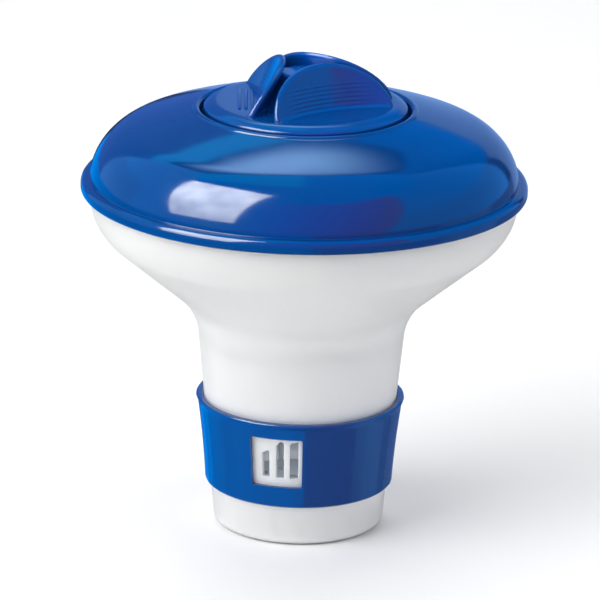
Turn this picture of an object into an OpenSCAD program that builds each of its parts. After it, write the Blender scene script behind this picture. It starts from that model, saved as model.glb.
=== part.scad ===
// Floating chlorine dispenser: a domed float with a screw cap and a tapering tablet tube,
// whose slots are opened and closed by a ring that turns on the tube.
// Origin at the centre of the base, +Z up, the ring's window towards -Y.

/* [Float] */

// Largest radius of the float, at the rim bead
rim_r = 62.5; // [50:0.5:90]
// Height of the rim bead's lower edge above the base
rim_z = 97.3; // [80:0.1:120]
// Height of the rim bead
rim_h = 3.8; // [2:0.1:8]
// Outer radius of the shells at the rim joint
shell_r = 60; // [48:0.5:86]
// Wall thickness of the moulded shells
wall = 1.7; // [1.2:0.1:3]
// Radius of the dome's shoulder
shoulder_r = 17.8; // [8:0.1:30]
// Fall of the dome's top where the shoulder starts, in degrees
shoulder_fall = 19.5; // [6:0.5:40]
// Radius of the dome's nearly straight top
crown_r = 167; // [80:1:400]
// Slope of the hull's funnel below the level, in degrees
funnel_fall = 40; // [20:1:60]
// Radius of the hull's upper turn
bilge_r = 17.3; // [8:0.1:30]
// Radius of the fillet between funnel and tube
neck_fillet_r = 18.9; // [6:0.1:30]

/* [Cap well] */

// Inner radius of the cap well
well_r = 29.4; // [26:0.1:40]
// Height of the well's floor above the base
well_z = 115; // [108:0.1:119]
// Inner radius of the sleeve that lines the air chamber
sleeve_r = 25; // [20:0.5:30]
// Height of the sleeve's lower end
sleeve_z = 55.5; // [50:0.5:70]

/* [Tube] */

// Outer radius of the tube at the base
foot_r = 23.9; // [18:0.1:30]
// Growth of the tube's radius per millimetre of height
taper = 0.092; // [0:0.001:0.15]
// Thickness of the tube's floor
floor_h = 2.4; // [1.5:0.1:4]
// Radius of the rounded edge of the base
foot_round = 2.2; // [0.5:0.1:5]
// Number of guide ribs inside the tube's foot
rib_count = 20; // [8:1:30]

/* [Slots] */

// Widths of the graded flow slots
slot_widths = [2.2, 2.3, 2.4];
// Height of the slots' lower edge
slot_z = 20.5; // [16:0.1:26]
// Heights of the graded slots
slot_heights = [8.2, 11.1, 11.3];
// Top of each slot from right to left: share of its half width, and fall below its peak
slot_tops = [
    [[1, 0.4], [0.55, 0], [-1, 1]],
    [[1, 0.5], [0.55, 0], [0.1, 0], [-1, 1.4]],
    [[1, 0], [-0.6, 0.4], [-1, 1.2]]
];
// Angles of the graded slots from the window's middle, in degrees
slot_angles = [-7.2, 1.9, 10.6];
// Angles of the slot groups and windows round the tube
side_angles = [-90, 90];

/* [Control ring] */

// Height of the ring's lower edge
ring_z = 12; // [8:0.1:20]
// Height of the ring
ring_h = 25.4; // [15:0.1:35]
// Outer radius of the ring at its lower edge
ring_low_r = 26.5; // [22:0.1:32]
// Outer radius of the ring below its lip
ring_high_r = 28.85; // [24:0.05:34]
// Outer radius of the ring's lip
ring_lip_r = 29.45; // [24:0.05:34]
// Height of the window's lower edge above the base
window_z = 18.1; // [15:0.1:24]
// Height of the window
window_h = 14.7; // [8:0.1:20]
// Width of the window, in degrees round the ring
window_arc = 31; // [15:1:60]
// Running gap between ring and tube
ring_gap = 0.35; // [0.2:0.05:0.6]
// Radius of the snap bead on the tube that holds the ring
bead_r = 0.6; // [0.3:0.05:1]

/* [Cap] */

// Radius of the cap's flange
cap_r = 28.5; // [24:0.1:34]
// Height of the cap's top face above the base
cap_face_z = 123.2; // [115:0.1:135]
// Radius of the flange's shoulder, where it meets the face
cap_round_r = 5.5; // [2:0.1:8]
// Radius of the flange's edge below that shoulder
cap_edge_r = 1.1; // [0.5:0.1:3]
// Outer radius of the cap's skirt
skirt_r = 23.6; // [20:0.1:28]
// Height of the skirt's lower end
skirt_z = 103; // [95:0.5:112]
// Height of the dome that the grip is rounded off to
grip_h = 12.5; // [8:0.1:18]
// Radius of that dome at the cap's face
grip_r = 24.5; // [20:0.1:26]
// Radius of each finger scoop at the cap's face
scoop_r = 38; // [20:1:60]
// Distance from the axis to a scoop at the cap's face
scoop_near = 11.8; // [8:0.1:16]
// Lean of the scoops towards the axis, per millimetre of height
scoop_lean = 0.38; // [0:0.01:0.6]
// Thickness of the arched grip walls
grip_wall = 1.9; // [0.8:0.1:3]
// Number of arched grip walls
grip_count = 3; // [2:1:5]
// Direction of the first scoop round the cap, in degrees
grip_angle = -45.5; // [-180:0.5:180]
// Height of the hub between the grip walls
hub_h = 8.3; // [3:0.1:12]
// Number of grip ribs on each scoop
grip_rib_count = 6; // [0:1:10]
// Spacing of the grip ribs
grip_rib_pitch = 1.1; // [0.8:0.1:2]

/* [Thread] */

// Rise of the cap in one full turn
lead = 24; // [9:1:36]
// Number of thread starts
starts = 3; // [2:1:4]
// Height of the thread ridges along the axis
ridge_h = 1.4; // [0.8:0.1:2.5]
// Length of each ridge in the sleeve, in degrees
ridge_arc = 100; // [40:5:115]
// Length of each lug on the skirt, in degrees
lug_arc = 24; // [10:2:60]

/* [Seals and ballast] */

// Thickness of the cap's gasket
gasket_h = 1.9; // [1:0.1:3]
// Cross-section radius of the neck O-ring
oring_r = 0.95; // [0.5:0.05:1.5]
// Height of the neck O-ring
oring_z = 59.5; // [56:0.1:64]
// Radius of the ballast disc
ballast_r = 19.5; // [10:0.5:21]
// Thickness of the ballast disc
ballast_h = 3.6; // [1:0.1:5]
// Height of the tablet grate's upper face
grate_z = 9.6; // [7:0.1:14]

/* [Hidden] */

$fn = 96;
BLUE = [0.02, 0.27, 0.65];
WHITE = [0.92, 0.92, 0.93];
RUBBER = [0.13, 0.13, 0.14];
STEEL = [0.6, 0.61, 0.62];

// Clearance between parts that are fitted together, and overlap of parts of one moulding
play = 0.1;
sink = 0.3;
full = 360;

rim_top = rim_z + rim_h;
taper_deg = atan(taper);
lip_r = 1.1;
lip_rise = 0.4;
brow_r = 8;
brow_deg = 12;
sleeve_out = sleeve_r + wall;
seal_land = rim_top - 0.2;
rim_seal_h = 1.3;
hull_top = seal_land - rim_seal_h - play;
boss_r = 27.35;
boss_in = 24.2;
boss_h = 8;
neck_r = 27.6;
neck_h = 8;
fillet_stop = 152;
ring_top = ring_z + ring_h;
flange_z = well_z + gasket_h + play;
skirt_in = skirt_r - wall;
mate_gap = 0.35;
ridge_r = skirt_r + mate_gap;
lug_r = skirt_r + 0.95;
lug_z = skirt_z + 1.9;
ridge_z = lug_z + ridge_h + mate_gap + 0.1;
bead_z = 15.2;
grate_h = 2;
rib_h = 14;
rib_depth = 0.5;
mark_h = 0.35;
skirt_wall = 1.2;
edge_deg = 40;

// Point at polar angle a round a centre
function ray(c, r, a) = [c[0] + r * cos(a), c[1] + r * sin(a)];
// Points of an arc from angle a0 to a1
function arc(c, r, a0, a1, n = 12) = [for (i = [0:n]) ray(c, r, a0 + (a1 - a0) * i / n)];
// Outer and inner radius of the tube at height z
function tube_r(z) = foot_r + taper * z;
function bore_r(z) = tube_r(z) - wall;

// The dome's section is three arcs that meet smoothly: brow, shoulder and crown.
brow_c = [shell_r - brow_r, rim_top];
shoulder_c = ray(brow_c, brow_r - shoulder_r, brow_deg);
crown_deg = 90 - shoulder_fall;
crown_c = ray(shoulder_c, shoulder_r - crown_r, crown_deg);
// Angle on the crown, t inside its outer face, at which it reaches radius x
function crown_at(x, t) = acos((x - crown_c[0]) / (crown_r - t));
// The lip is a round bead that stands a little proud of the crown and meets it in a soft valley
lip_c = ray(crown_c, crown_r - lip_r + lip_rise, crown_at(well_r + lip_r, lip_r - lip_rise));
lip_far = norm(lip_c - crown_c);
lip_deg = atan2(lip_c[1] - crown_c[1], lip_c[0] - crown_c[0])
    - acos((pow(lip_far, 2) + pow(crown_r, 2) - pow(lip_r, 2)) / (2 * lip_far * crown_r));
lip_foot = ray(crown_c, crown_r, lip_deg);
lip_start = atan2(lip_foot[1] - lip_c[1], lip_foot[0] - lip_c[0]);

// Skin of the dome, t inside its outer face, from the rim to angle last on the crown
function dome_skin(t, last) = concat(
    arc(brow_c, brow_r - t, 0, brow_deg, 4),
    arc(shoulder_c, shoulder_r - t, brow_deg, crown_deg, 20),
    arc(crown_c, crown_r - t, crown_deg, last, 6));

// The hull's section is a turn below the rim, a straight funnel and a fillet into the tube.
bilge_c = [shell_r - bilge_r, rim_z - 0.9];
bilge_end = ray(bilge_c, bilge_r, funnel_fall - 90);
fillet_z = (neck_fillet_r
    - (foot_r + neck_fillet_r * cos(taper_deg) - bilge_end[0]) * sin(funnel_fall)
    - (neck_fillet_r * sin(taper_deg) + bilge_end[1]) * cos(funnel_fall))
    / (taper * sin(funnel_fall) - cos(funnel_fall));
fillet_c = [tube_r(fillet_z) + neck_fillet_r * cos(taper_deg),
    fillet_z - neck_fillet_r * sin(taper_deg)];

// Skin of the hull, t inside its outer face, from the rim down to angle last on the fillet
function hull_skin(t, last) = concat(
    arc(bilge_c, bilge_r - t, 0, funnel_fall - 90, 18),
    arc(fillet_c, neck_fillet_r + t, 90 + funnel_fall, last, 12));

function reversed(list) = [for (i = [len(list) - 1:-1:0]) list[i]];

// Solid of revolution from an outline of radius and height
module turned(outline) {
    rotate_extrude() polygon(outline);
}

// Sector of a flat ring between radii r0 and r1, centred on angle mid
module sector(r0, r1, z, h, mid, sweep) {
    rotate([0, 0, mid - sweep / 2]) rotate_extrude(angle = sweep) translate([r0, z]) square([r1 - r0, h]);
}

// Thread ridge that climbs by the lead, with heights h0 at its inner and h1 at its outer radius
module helix(r0, r1, z, h0, h1, sweep) {
    n = ceil(sweep / 5);
    step = sweep / n;
    pts = [for (i = [0:n]) let (a = i * step, m = z + lead * a / full)
        each [
            [r0 * cos(a), r0 * sin(a), m - h0 / 2],
            [r1 * cos(a), r1 * sin(a), m - h1 / 2],
            [r1 * cos(a), r1 * sin(a), m + h1 / 2],
            [r0 * cos(a), r0 * sin(a), m + h0 / 2]
        ]];
    sides = [for (i = [0:n - 1]) for (k = [0:3]) let (p = 4 * i + k, q = 4 * i + (k + 1) % 4)
        each [[p, q, p + 4], [q, q + 4, p + 4]]];
    ends = [[3, 2, 1, 0], [4 * n, 4 * n + 1, 4 * n + 2, 4 * n + 3]];
    polyhedron(points = pts, faces = concat(sides, ends));
}

// Blue upper shell: rim bead, dome, cap well, sleeve and thread ridges
module float_dome() {
    bead = concat([[shell_r + play, rim_z]],
        arc([rim_r - 0.9, rim_z + 0.9], 0.9, -90, 0, 6),
        arc([rim_r - 1.6, rim_top - 1.6], 1.6, 0, 90, 8));
    lip = [for (i = [1:8]) ray(lip_c, lip_r, lip_start + (180 - lip_start) * i / 8)];
    sleeve = [[well_r, well_z], [sleeve_r, well_z], [sleeve_r, sleeve_z + boss_h],
        [boss_in, sleeve_z + boss_h - 1], [boss_in, sleeve_z], [boss_r - 0.6, sleeve_z],
        [boss_r, sleeve_z + 0.6], [boss_r, sleeve_z + boss_h - 1], [sleeve_out, sleeve_z + boss_h],
        [sleeve_out, well_z - wall], [well_r + wall, well_z - wall]];
    inside = reversed(dome_skin(wall, crown_at(well_r + wall, wall)));
    socket = [[shell_r - wall, seal_land], [shell_r + play, seal_land]];
    color(BLUE) {
        difference() {
            turned(concat(bead, dome_skin(0, lip_deg), lip, sleeve, inside, socket));
            rotate_extrude() translate([neck_r - oring_r - play / 2, oring_z]) circle(oring_r + play / 2);
        }
        for (k = [0:starts - 1]) {
            rotate([0, 0, k * full / starts])
                helix(ridge_r, sleeve_r + sink, ridge_z, ridge_h / 2, ridge_h, ridge_arc);
        }
    }
}

// Outline of one flow slot, seen from outside, with its slanted top
module slot_shape(k) {
    w = slot_widths[k] / 2;
    top = slot_z + slot_heights[k];
    polygon(concat([[-w, slot_z], [w, slot_z]], [for (p = slot_tops[k]) [p[0] * w, top - p[1]]]));
}

// White lower shell: funnel float, tablet tube with graded slots, snap bead and guide ribs
module float_hull() {
    foot = arc([tube_r(foot_round) - foot_round, foot_round], foot_round, -90, -taper_deg, 8);
    outside = reversed(hull_skin(0, 180 - taper_deg));
    brim = [[shell_r, hull_top], [shell_r - wall, hull_top]];
    inside = hull_skin(wall, fillet_stop);
    neck = [[neck_r + 0.6, oring_z + neck_h / 2 + 0.6], [neck_r, oring_z + neck_h / 2],
        [neck_r, fillet_z - 0.6], [bore_r(fillet_z - 0.8), fillet_z - 0.8]];
    heel = arc([bore_r(floor_h + 1.5) - 1.5, floor_h + 1.5], 1.5, 0, -90, 6);
    color(WHITE) {
        difference() {
            union() {
                turned(concat([[0, 0]], foot, outside, brim, inside, neck, heel, [[0, floor_h]]));
                rotate_extrude() translate([tube_r(bead_z), bead_z]) circle(bead_r);
                for (k = [0:rib_count - 1]) {
                    rotate([0, 0, (k + 0.5) * full / rib_count])
                        translate([bore_r(floor_h) - rib_depth, -0.5, floor_h - sink])
                        cube([rib_depth + wall / 2, 1, rib_h - floor_h]);
                }
            }
            for (side = side_angles) {
                for (k = [0:len(slot_angles) - 1]) {
                    rotate([0, 0, side + slot_angles[k]]) translate([foot_r / 2, 0, 0])
                        rotate([90, 0, 90]) linear_extrude(foot_r) slot_shape(k);
                }
            }
        }
    }
}

// Blue flow ring: a flared sleeve with a rounded lip, snap groove and two windows
module control_ring() {
    swell = ring_high_r - ring_low_r;
    lip_half = (ring_lip_r - tube_r(ring_top) - ring_gap) / 2;
    lip_at = [ring_lip_r - lip_half, ring_top - lip_half];
    // The outer face flares out faster towards its top
    face = [for (i = [0:8]) let (t = i / 8)
        [ring_low_r + swell * (0.6 * t + 0.4 * t * t), ring_z + 0.5 + t * (ring_h - lip_half - 1.5)]];
    color(BLUE) {
        difference() {
            turned(concat([[tube_r(ring_z) + ring_gap, ring_z], [ring_low_r - 0.5, ring_z]],
                face, arc(lip_at, lip_half, 0, 180, 12)));
            rotate_extrude() translate([tube_r(bead_z), bead_z]) circle(bead_r + ring_gap);
            for (side = side_angles) {
                sector(foot_r, rim_r, window_z, window_h, side, window_arc);
            }
        }
    }
}

// Height of the grip's dome at radius r: rounder than a sphere at its sides
function grip_top(r) = grip_h * pow(1 - pow(r / grip_r, 2.2), 0.69);

// Leaning round body whose side is the scoop's face, t further from the scoop's axis
module scoop(t, z) {
    tall = grip_h + 2;
    translate([scoop_near + scoop_r, 0, z])
        cylinder(h = tall, r1 = scoop_r + t + scoop_lean * z, r2 = scoop_r + t + scoop_lean * (z + tall));
}

// The grip: a dome hollowed by the scoops, and between them channels down to the hub
module grip() {
    steps = 10;
    dome = [for (i = [1:steps]) let (r = grip_r * sin(90 * i / steps)) [r, grip_top(min(r, grip_r))]];
    // The hub flares out into the channels' floors
    hub = concat([[0, -2 * sink], [17.9, -2 * sink]], arc([20, hub_h + 4.2], 13.2, 261, 200, 8),
        [[6.9, hub_h], [0, hub_h]]);
    turns = [for (k = [0:grip_count - 1]) grip_angle + k * full / grip_count];
    difference() {
        union() {
            turned(hub);
            intersection() {
                turned(concat([[0, -sink], [0, grip_h]], dome, [[grip_r, -sink]]));
                union() {
                    for (turn = turns) {
                        rotate([0, 0, turn]) scoop(grip_wall, -sink);
                    }
                }
            }
        }
        for (turn = turns) {
            rotate([0, 0, turn]) scoop(0, -1);
        }
    }
    for (turn = turns) {
        rotate([0, 0, turn]) grip_ribs();
    }
}

// Fine ribs across one scoop, cut short before its ends
module grip_ribs() {
    intersection() {
        translate([0, -grip_r / 2, -sink])
            cube([scoop_near + 4, grip_r, grip_rib_pitch * (grip_rib_count + 1)]);
        translate([scoop_near + scoop_r, 0, 0]) {
            for (k = [1:grip_rib_count]) {
                z = k * grip_rib_pitch;
                r = scoop_r + scoop_lean * z;
                turned([[r + sink, z - 0.5], [r - sink, z], [r + sink, z + 0.5]]);
            }
        }
    }
}

// Blue screw cap: flange with rounded shoulder, skirt with lugs, hub and arched grips
module twist_cap() {
    round_z = cap_face_z - cap_round_r + (cap_round_r - cap_edge_r) * sin(edge_deg);
    rim = [[cap_r - 0.4, flange_z], [cap_r, flange_z + 0.4]];
    edge_c = [cap_r - cap_edge_r, round_z];
    edge = arc(edge_c, cap_edge_r, 0, edge_deg, 5);
    shoulder = arc(ray(edge_c, cap_edge_r - cap_round_r, edge_deg), cap_round_r, edge_deg, 90, 8);
    color(BLUE) {
        turned(concat([[0, cap_face_z - wall - 0.5], [skirt_in, cap_face_z - wall - 0.5],
            [skirt_in, skirt_z], [skirt_r - 0.4, skirt_z], [skirt_r, skirt_z + 0.4], [skirt_r, flange_z]],
            rim, edge, shoulder, [[0, cap_face_z]]));
        translate([0, 0, cap_face_z]) {
            grip();
            // Raised bars in one scoop, to line the cap up by
            rotate([0, 0, grip_angle - full / grip_count]) {
                for (x = [14.4, 16.2, 18]) {
                    translate([x, -10.5, -sink]) cube([1, 21, sink + mark_h]);
                }
            }
        }
        for (k = [0:starts - 1]) {
            rotate([0, 0, k * full / starts])
                helix(skirt_r - sink, lug_r, lug_z, ridge_h, ridge_h / 2, lug_arc);
        }
    }
}

// Flat rubber ring under the cap's flange
module cap_gasket() {
    color(RUBBER) translate([0, 0, well_z + play / 2]) difference() {
        cylinder(h = gasket_h, r = cap_r - 0.4);
        translate([0, 0, -1]) cylinder(h = gasket_h + 2, r = skirt_r + mate_gap);
    }
}

// Flat rubber ring in the lap joint of the two shells
module rim_seal() {
    color(RUBBER) translate([0, 0, hull_top + play / 2]) difference() {
        cylinder(h = rim_seal_h, r = shell_r);
        translate([0, 0, -1]) cylinder(h = rim_seal_h + 2, r = shell_r - wall);
    }
}

// O-ring between the dome's sleeve and the hull's neck
module neck_seal() {
    color(RUBBER) rotate_extrude() translate([neck_r - oring_r - play / 2, oring_z]) circle(oring_r);
}

// Steel weight in the foot
module ballast_disc() {
    color(STEEL) translate([0, 0, floor_h]) cylinder(h = ballast_h, r = ballast_r);
}

// White false floor on a skirt, with drain holes in two rings
module tablet_grate() {
    plate_z = grate_z - grate_h;
    plate_r = bore_r(floor_h) - rib_depth - play;
    color(WHITE) difference() {
        union() {
            translate([0, 0, plate_z]) cylinder(h = grate_h, r = plate_r);
            translate([0, 0, floor_h]) cylinder(h = plate_z - floor_h + sink, r = ballast_r + skirt_wall);
        }
        translate([0, 0, floor_h - 1]) cylinder(h = plate_z - floor_h + 1, r = ballast_r + play);
        for (ring = [[6, 7], [12, 14.5]]) {
            for (k = [0:ring[0] - 1]) {
                rotate([0, 0, k * full / ring[0]]) translate([ring[1], 0, plate_z - 1])
                    cylinder(h = grate_h + 2, r = 1.8);
            }
        }
    }
}

float_dome();
float_hull();
control_ring();
twist_cap();
cap_gasket();
rim_seal();
neck_seal();
ballast_disc();
tablet_grate();
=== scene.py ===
"""Looks of the floating chlorine dispenser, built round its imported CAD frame.

Shapes are worked out in millimetres from the CAD nodes' boxes and a few moulding sizes, and become metres
when a mesh is made. The dome, hull, ring and cap are turned, lofted and cut here; the hidden seals, weight
and grate stay CAD.
"""

import math

import bmesh
import bpy
from mathutils import Matrix, Vector


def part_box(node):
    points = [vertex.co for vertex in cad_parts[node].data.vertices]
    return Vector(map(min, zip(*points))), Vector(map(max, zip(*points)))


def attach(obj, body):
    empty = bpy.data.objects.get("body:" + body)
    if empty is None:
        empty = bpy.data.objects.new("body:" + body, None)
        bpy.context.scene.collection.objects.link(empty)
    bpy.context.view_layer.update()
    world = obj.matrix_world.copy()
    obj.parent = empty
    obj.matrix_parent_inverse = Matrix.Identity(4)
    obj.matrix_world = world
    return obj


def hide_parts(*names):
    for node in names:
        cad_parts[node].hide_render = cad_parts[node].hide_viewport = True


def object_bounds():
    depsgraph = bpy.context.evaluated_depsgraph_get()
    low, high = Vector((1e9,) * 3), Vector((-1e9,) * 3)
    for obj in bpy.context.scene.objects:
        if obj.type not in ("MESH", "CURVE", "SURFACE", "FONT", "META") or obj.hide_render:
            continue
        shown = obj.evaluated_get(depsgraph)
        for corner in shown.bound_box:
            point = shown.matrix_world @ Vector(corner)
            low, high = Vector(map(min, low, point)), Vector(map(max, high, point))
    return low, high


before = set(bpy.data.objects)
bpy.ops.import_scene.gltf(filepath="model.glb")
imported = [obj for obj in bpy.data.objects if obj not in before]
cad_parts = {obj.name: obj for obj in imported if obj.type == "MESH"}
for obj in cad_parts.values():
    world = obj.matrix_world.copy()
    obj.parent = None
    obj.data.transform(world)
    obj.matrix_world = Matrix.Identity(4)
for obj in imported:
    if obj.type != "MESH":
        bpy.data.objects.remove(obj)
cad_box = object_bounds()

MM = 0.001
FULL = 360


# ---------------------------------------------------------------- sizes, in millimetres
def low(node):
    """Height of a CAD node's lowest point."""
    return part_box(node)[0].z / MM


def top(node):
    """Height of a CAD node's highest point."""
    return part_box(node)[1].z / MM


def reach(node):
    """Largest radius of a round CAD node."""
    lo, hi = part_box(node)
    return (hi.x - lo.x) / 2 / MM


# PLAY is the room round a seal, and SINK is how far an added feature reaches into its shell
PLAY = 0.1
SINK = 0.3
WALL = 1.7
TURNS = 256

# Float
RIM_R = reach("float_dome")
SHELL_R = reach("rim_seal")
HULL_TOP = top("float_hull")
SEAL_LAND = top("rim_seal") + PLAY / 2
RIM_TOP = SEAL_LAND + 0.2
RIM_H = 3.8
RIM_Z = RIM_TOP - RIM_H
RIM_ROUND = 1.9
RIM_UNDER_R = 0.9
BROW_R = 8
BROW_DEG = 12
SHOULDER_R = 17.8
SHOULDER_FALL = 19.5
CROWN_R = 167
FUNNEL_FALL = 40
BILGE_R = 17.3
BILGE_DROP = 0.9
FILLET_R = 18.9
FILLET_STOP = 152

# Cap well and sleeve
WELL_R = 29.4
WELL_Z = low("cap_gasket") - PLAY / 2
LIP_R = 1.1
LIP_RISE = 0.4
SLEEVE_R = 25
SLEEVE_Z = low("float_dome")
SLEEVE_OUT = SLEEVE_R + WALL
BOSS_R = 27.35
BOSS_IN = 24.2
BOSS_H = 8
BOSS_RAMP = 1
LEAD_IN = 0.6
RING_SEAL_R = (top("neck_seal") - low("neck_seal")) / 2
RING_SEAL_Z = (top("neck_seal") + low("neck_seal")) / 2
NECK_R = reach("neck_seal") + PLAY / 2
NECK_H = 8
NECK_STEP = 0.8

# Tube
FOOT_R = 23.9
TAPER = 0.092
TAPER_DEG = math.degrees(math.atan(TAPER))
FLOOR_H = low("ballast_disc")
FOOT_ROUND = 2.2
HEEL_R = 1.5
FLAT_DEPTH = 0.11
FLAT_FADE = (2, 12)
RIB_COUNT = 20
RIB_DEPTH = 0.5
RIB_WIDTH = 1
RIB_TOP = 14
RIB_SLOPE = 0.8
RIB_EDGE = 0.15
BEAD_R = 0.6
BEAD_Z = 15.2

# Slots: width, height, degrees from the middle of the window, and the top's points from right to left, each
# as a share of half the width and a fall from the peak
SLOT_Z = 20.5
SLOTS = [
    (2.2, 8.2, -7.2, [(1, 0.4), (0.55, 0), (-1, 1)]),
    (2.3, 11.1, 1.9, [(1, 0.5), (0.55, 0), (0.1, 0), (-1, 1.4)]),
    (2.4, 11.3, 10.6, [(1, 0), (-0.6, 0.4), (-1, 1.2)]),
]
SIDES = (-90, 90)

# Control ring
RING_Z = low("control_ring")
RING_TOP = top("control_ring")
RING_LIP_R = reach("control_ring")
RING_LOW_R = 26.5
RING_HIGH_R = 28.85
RING_GAP = 0.35
LIP_GAP = 0.06
LIP_ROUND = 0.5
LIP_FOOT = 1.9
LIP_LAND = 1.5
RING_EDGE = 0.5
# Flutes: number round the ring, depth and phase
FLUTES = [(48, 0.02, 0), (31, 0.02, 1.3), (17, 0.025, 0.4)]
WINDOW_Z = 18.1
WINDOW_H = 14.7
WINDOW_ARC = 31
WINDOW_CORNER = 0.55

# Cap: grip heights are above its face
CAP_R = 28.5
FLANGE_Z = top("cap_gasket") + PLAY / 2
FLANGE_H = 6.2
FACE_Z = FLANGE_Z + FLANGE_H
PLATE_H = WALL + 0.5
SHOULDER_ARC_R = 5.5
EDGE_R = 0.8
EDGE_DEG = 48
SKIRT_R = 23.6
SKIRT_IN = SKIRT_R - WALL
SKIRT_Z = low("twist_cap")
CAP_LEAD_IN = 0.4
GRIP_H = 12.5
GRIP_R = 24.5
GRIP_POWERS = (2.2, 0.69)
GRIP_COUNT = 3
GRIP_ANGLE = -45.5
GRIP_WALL = 1.9
GRIP_CREST = 1.7
GRIP_FILLET = 0.9
SCOOP_R = 38
SCOOP_NEAR = 11.8
SCOOP_LEAN = 0.38
HUB_H = 8.3
HUB_R = 6.9
HUB_FOOT_R = 17.9
HUB_FLANK_R = 13.2
HUB_FLANK_C = (20, HUB_H + 4.2)
BAR_X = (14.9, 16.7, 18.5)
BAR_LENGTH = 21
BAR_WIDTH = 1.0
BAR_H = 0.35
GRIP_RIBS = 6
GRIP_RIB_PITCH = 1.1
GRIP_RIB_H = (0.13, 0.03, 0.03)

# Thread
LEAD = 24
STARTS = 3
RIDGE_H = 1.4
RIDGE_ARC = 100
LUG_ARC = 24
LUG_OUT = 0.95
MATE_GAP = 0.35
LUG_Z = SKIRT_Z + 1.9
RIDGE_Z = LUG_Z + RIDGE_H + MATE_GAP + 0.1


# ---------------------------------------------------------------- outlines of radius and height
def ray(centre, r, deg):
    """Point at polar angle deg round a centre."""
    a = math.radians(deg)
    return (centre[0] + r * math.cos(a), centre[1] + r * math.sin(a))


def arc(centre, r, a0, a1):
    """Points of an arc from angle a0 to a1, close enough together to look round."""
    n = max(3, math.ceil(abs(a1 - a0) / 6), math.ceil(abs(r * math.radians(a1 - a0))))
    return [ray(centre, r, a0 + (a1 - a0) * i / n) for i in range(n + 1)]


def tube_r(z):
    """Outer radius of the tapering tube at height z."""
    return FOOT_R + TAPER * z


def bore_r(z):
    """Inner radius of the tube at height z."""
    return tube_r(z) - WALL


def soften(outline, r, closed=True):
    """Rounds every sharp corner of an outline off to about radius r, as a mould's tooling does."""
    n = len(outline)
    made = []
    for i, p in enumerate(outline):
        if not closed and i in (0, n - 1):
            made.append(p)
            continue
        p = Vector(p)
        a = Vector(outline[i - 1]) - p
        b = Vector(outline[(i + 1) % n]) - p
        turn = math.pi - a.angle(b)
        if turn < math.radians(25):
            made.append(tuple(p))
            continue
        cut = min(r * math.tan(turn / 2), 0.42 * a.length, 0.42 * b.length)
        start = p + a.normalized() * cut
        end = p + b.normalized() * cut
        for k in range(5):
            t = k / 4
            made.append(tuple((1 - t) ** 2 * start + 2 * t * (1 - t) * p + t * t * end))
    return made


def refine(outline, step, closed=True):
    """Splits the long straight stretches of an outline."""
    made = []
    for i, p in enumerate(outline):
        made.append(p)
        if i == len(outline) - 1 and not closed:
            break
        q = outline[(i + 1) % len(outline)]
        n = math.ceil(math.dist(p, q) / step)
        made += [(p[0] + (q[0] - p[0]) * k / n, p[1] + (q[1] - p[1]) * k / n) for k in range(1, n)]
    return made


# ---------------------------------------------------------------- meshes
def link_mesh(bm, name):
    """Makes a bmesh an object of the scene."""
    mesh = bpy.data.meshes.new(name)
    bm.to_mesh(mesh)
    bm.free()
    obj = bpy.data.objects.new(name, mesh)
    bpy.context.scene.collection.objects.link(obj)
    return obj


def to_object(bm, name):
    """Turns a bmesh in millimetres into an object in metres."""
    bmesh.ops.recalc_face_normals(bm, faces=bm.faces)
    bm.transform(Matrix.Scale(MM, 4))
    return link_mesh(bm, name)


def lathe(name, outline, closed=True, wave=None):
    """Solid of revolution. An outline that isn't closed starts and ends on the axis.

    wave(deg, r, z) is added to each radius.
    """
    bm = bmesh.new()
    rows = []
    for r, z in outline:
        if r < 1e-6:
            rows.append([bm.verts.new((0, 0, z))])
            continue
        row = []
        for k in range(TURNS):
            deg = FULL * k / TURNS
            a = math.radians(deg)
            rk = r + (wave(deg, r, z) if wave else 0)
            row.append(bm.verts.new((rk * math.cos(a), rk * math.sin(a), z)))
        rows.append(row)
    pairs = list(zip(rows, rows[1:] + ([rows[0]] if closed else [])))
    if not closed:
        pairs = pairs[:len(rows) - 1]
    for a, b in pairs:
        for k in range(TURNS):
            j = (k + 1) % TURNS
            corners = (a[k % len(a)], a[j % len(a)], b[j % len(b)], b[k % len(b)])
            face = list(dict.fromkeys(corners))
            if len(face) > 2:
                bm.faces.new(face)
    return to_object(bm, name)


def loft(name, sections):
    """Closed solid through sections with the same number of points each."""
    bm = bmesh.new()
    rows = [[bm.verts.new(p) for p in s] for s in sections]
    n = len(rows[0])
    for a, b in zip(rows, rows[1:]):
        for k in range(n):
            bm.faces.new([a[k], a[(k + 1) % n], b[(k + 1) % n], b[k]])
    bm.faces.new(rows[0])
    bm.faces.new(rows[-1])
    bmesh.ops.remove_doubles(bm, verts=bm.verts, dist=1e-4)
    return to_object(bm, name)


def apply_modifiers(obj):
    """Replaces an object's mesh by what its modifiers make of it."""
    graph = bpy.context.evaluated_depsgraph_get()
    made = bpy.data.meshes.new_from_object(obj.evaluated_get(graph))
    old = obj.data
    obj.modifiers.clear()
    obj.data = made
    bpy.data.meshes.remove(old)


def combine(obj, others, how, solver="MANIFOLD"):
    """Adds the others to obj (UNION), or takes them away from it (DIFFERENCE)."""
    for other in others:
        m = obj.modifiers.new(how, "BOOLEAN")
        m.operation = how
        m.solver = solver
        m.object = other
        apply_modifiers(obj)
        bpy.data.objects.remove(other)


def tidy_mesh(obj, gap=0.03):
    """Merges the slivers that cutting leaves."""
    bm = bmesh.new()
    bm.from_mesh(obj.data)
    bmesh.ops.remove_doubles(bm, verts=bm.verts, dist=gap * MM)
    bmesh.ops.dissolve_degenerate(bm, edges=bm.edges, dist=gap * MM / 2)
    bm.to_mesh(obj.data)
    bm.free()


def smooth(obj, deg=32):
    """Shades an object smooth, with edges sharper than deg left sharp."""
    obj.data.shade_smooth()
    obj.data.set_sharp_from_angle(angle=math.radians(deg))


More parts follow.
